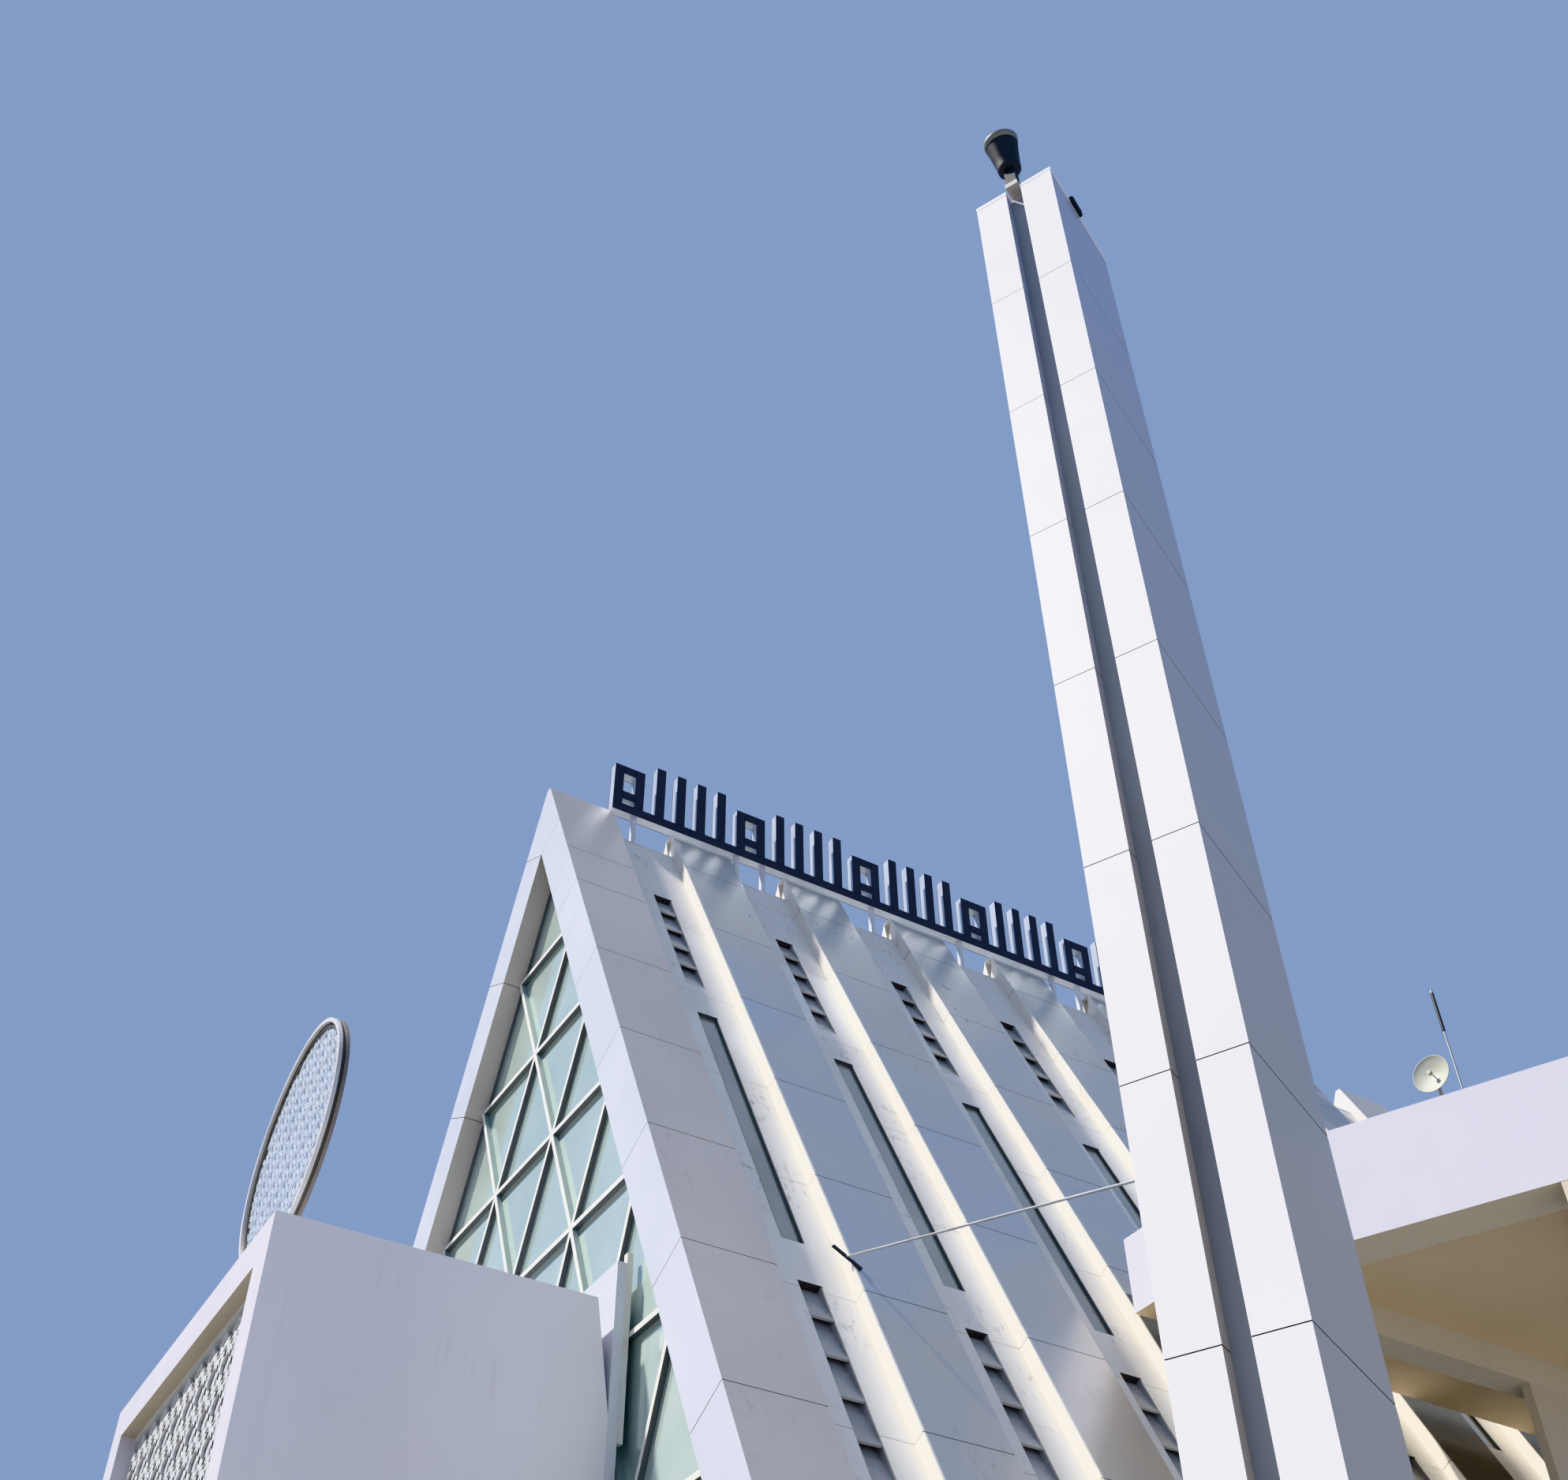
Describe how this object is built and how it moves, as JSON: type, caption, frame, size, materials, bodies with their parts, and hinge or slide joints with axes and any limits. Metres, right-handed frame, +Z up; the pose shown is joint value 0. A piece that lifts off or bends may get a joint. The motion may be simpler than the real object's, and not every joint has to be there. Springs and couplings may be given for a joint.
{
  "type": "mosque building",
  "caption": "Modern mosque with a steep A-shaped hall in folded white panels, a triangle-grid glass gable, a slim split minaret, a boxed portal and a side canopy.",
  "frame": {"origin": "Middle of the hall's floor slab, on the ground plane that its underside rests on.", "axes": "+Z up; the hall's ridge runs along X and its glazed front gable and portal face -X; the minaret and the canopy stand on the -Y side."},
  "size_m": [25.885, 27.255, 25.97],
  "materials": {
    "white_cladding": "satin coated composite panel",
    "glazing_bars": "white coated bars",
    "pane_glass": "pale green-blue float glass",
    "dark_steel": "matt charcoal paint",
    "grey_sheet": "matt grey coated sheet",
    "dark_plastic": "weathered dark plastic",
    "screen_metal": "silver-grey coated metal",
    "concrete": "painted concrete",
    "cream_paint": "cream paint",
    "galvanised_steel": "dull galvanised"
  },
  "bodies": {
    "root": {"hall_floor": "concrete", "front_frame": "white_cladding", "rear_frame": "white_cladding", "front_glazing_bars": "glazing_bars", "front_glass": "pane_glass", "rear_glazing_bars": "glazing_bars", "rear_glass": "pane_glass", "south_slot_glass": "pane_glass", "north_slot_glass": "pane_glass", "ridge_crest": "dark_steel", "minaret_right_leaf": "white_cladding", "minaret_left_leaf": "white_cladding", "minaret_core": "grey_sheet", "speaker_bracket": "grey_sheet", "loudspeaker": "dark_plastic", "rear_speaker": "dark_plastic", "portal_shell": "white_cladding", "portal_border": "white_cladding", "portal_screen": "screen_metal", "portal_collar": "white_cladding", "glazing_post": "glazing_bars", "medallion": "screen_metal", "medallion_stand": "grey_sheet", "canopy_roof": "concrete", "canopy_column_1": "concrete", "canopy_column_2": "concrete", "canopy_column_3": "concrete", "satellite_dish": "cream_paint", "aerial_mast": "galvanised_steel", "stay_bracket": "dark_steel", "stay_wire": "galvanised_steel", "south_roof_bay_1": "white_cladding", "south_roof_bay_2": "white_cladding", "south_roof_bay_3": "white_cladding", "south_roof_bay_4": "white_cladding", "south_roof_bay_5": "white_cladding", "south_roof_bay_6": "white_cladding", "south_roof_bay_7": "white_cladding", "north_roof_bay_1": "white_cladding", "north_roof_bay_2": "white_cladding", "north_roof_bay_3": "white_cladding", "north_roof_bay_4": "white_cladding", "north_roof_bay_5": "white_cladding", "north_roof_bay_6": "white_cladding", "north_roof_bay_7": "white_cladding"}
  },
  "joints": []
}
